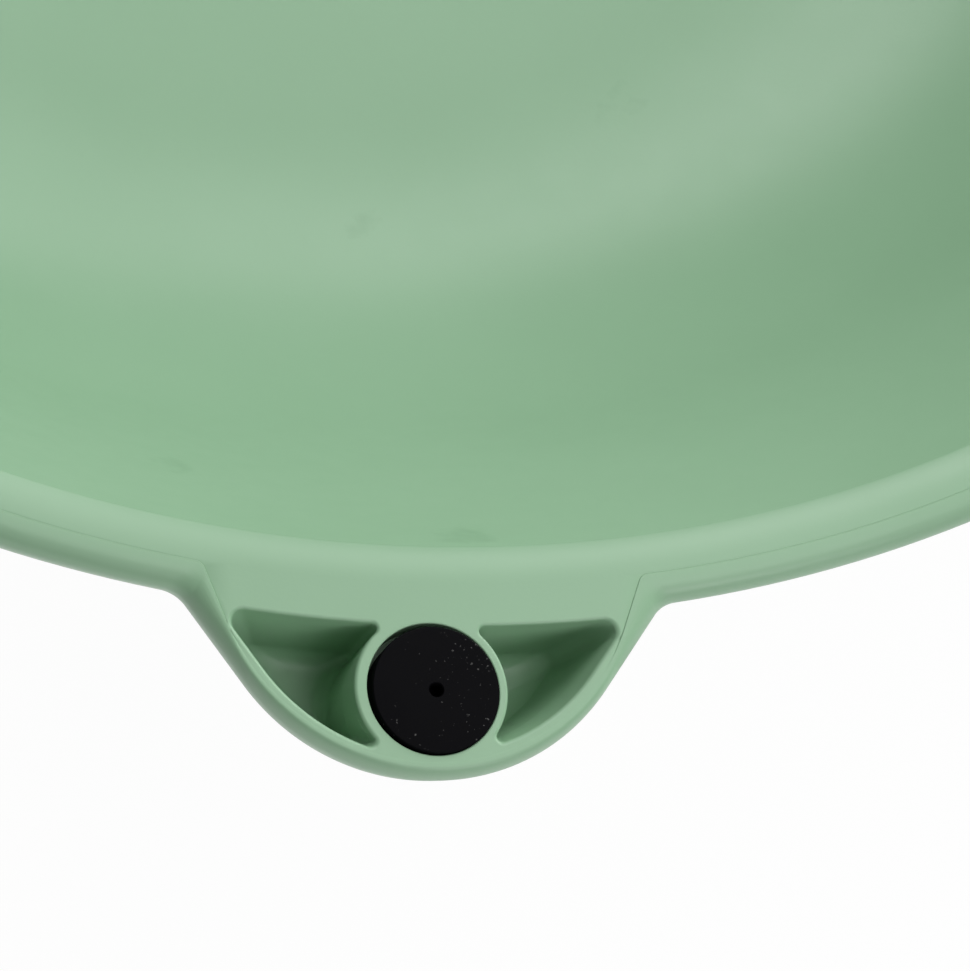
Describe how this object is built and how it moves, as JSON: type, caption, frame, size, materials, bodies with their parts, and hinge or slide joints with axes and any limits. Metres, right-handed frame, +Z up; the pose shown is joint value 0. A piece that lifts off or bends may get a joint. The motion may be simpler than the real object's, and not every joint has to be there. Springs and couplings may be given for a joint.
{
  "type": "gold pan",
  "caption": "Round green plastic gold pan with sloping walls, stepped riffles, a rolled rim and bell-shaped rim lugs, each with two pockets and a push-in black rubber bumper.",
  "frame": {"origin": "centre of the flat base on which the pan stands", "axes": "+Z up out of the pan's mouth, -Y towards the front lug, +Y towards the riffles"},
  "size_m": [0.396, 0.396, 0.0725],
  "materials": {
    "green_plastic": "satin moulded, sage green",
    "black_rubber": "satin black, lightly dusty"
  },
  "bodies": {
    "pan": {"pan_shell": "green_plastic"},
    "front_bumper": {"bumper_front": "black_rubber"},
    "right_bumper": {"bumper_right": "black_rubber"},
    "back_bumper": {"bumper_back": "black_rubber"},
    "left_bumper": {"bumper_left": "black_rubber"}
  },
  "joints": [
    {"name": "front_bumper_pull", "type": "slide", "parent": "pan", "child": "front_bumper", "axis": [0, 0, 1], "range_m": [0, 0.016]},
    {"name": "right_bumper_pull", "type": "slide", "parent": "pan", "child": "right_bumper", "axis": [0, 0, 1], "range_m": [0, 0.016]},
    {"name": "back_bumper_pull", "type": "slide", "parent": "pan", "child": "back_bumper", "axis": [0, 0, 1], "range_m": [0, 0.016]},
    {"name": "left_bumper_pull", "type": "slide", "parent": "pan", "child": "left_bumper", "axis": [0, 0, 1], "range_m": [0, 0.016]}
  ]
}
